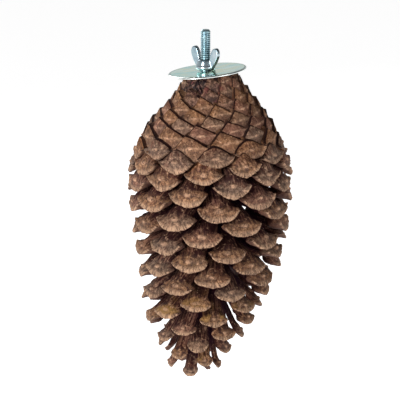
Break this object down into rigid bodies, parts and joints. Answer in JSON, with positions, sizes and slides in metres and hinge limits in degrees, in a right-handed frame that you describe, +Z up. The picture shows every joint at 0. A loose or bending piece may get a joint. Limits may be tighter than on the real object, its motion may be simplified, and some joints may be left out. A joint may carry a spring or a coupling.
{
  "type": "hanging pine cone",
  "caption": "Large open pine cone that hangs tip down from a threaded stud, held to a panel or cage bars by a fender washer and a wing nut.",
  "frame": {"origin": "on the stud's axis, where the washer's underside crosses it at the top of the cone", "axes": "+Z up along the stud, away from the cone's tip; -Y is the front; +X is to the right seen from the front"},
  "size_m": [0.1044, 0.1042, 0.2302],
  "materials": {
    "cone_wood": "dry weathered cone scale, rough, paler on the bosses",
    "zinc_plate": "bright zinc plating, faintly blue"
  },
  "bodies": {
    "cone": {"pine_cone": "cone_wood", "threaded_stud": "zinc_plate"},
    "washer": {"washer": "zinc_plate"},
    "nut": {"wing_nut": "zinc_plate"}
  },
  "joints": [
    {"name": "washer_lift", "type": "slide", "parent": "cone", "child": "washer", "axis": [0, 0, 1], "range_m": [0, 0.01905]},
    {"name": "wing_nut_turn", "type": "hinge", "parent": "washer", "child": "nut", "pos_m": [0, 0, 0], "axis": [0, 0, 1], "range_deg": [0, 5400]}
  ],
  "couplings": [
    {"joint": "wing_nut_turn", "follows": "washer_lift", "rad_per_m": 4947.4}
  ]
}
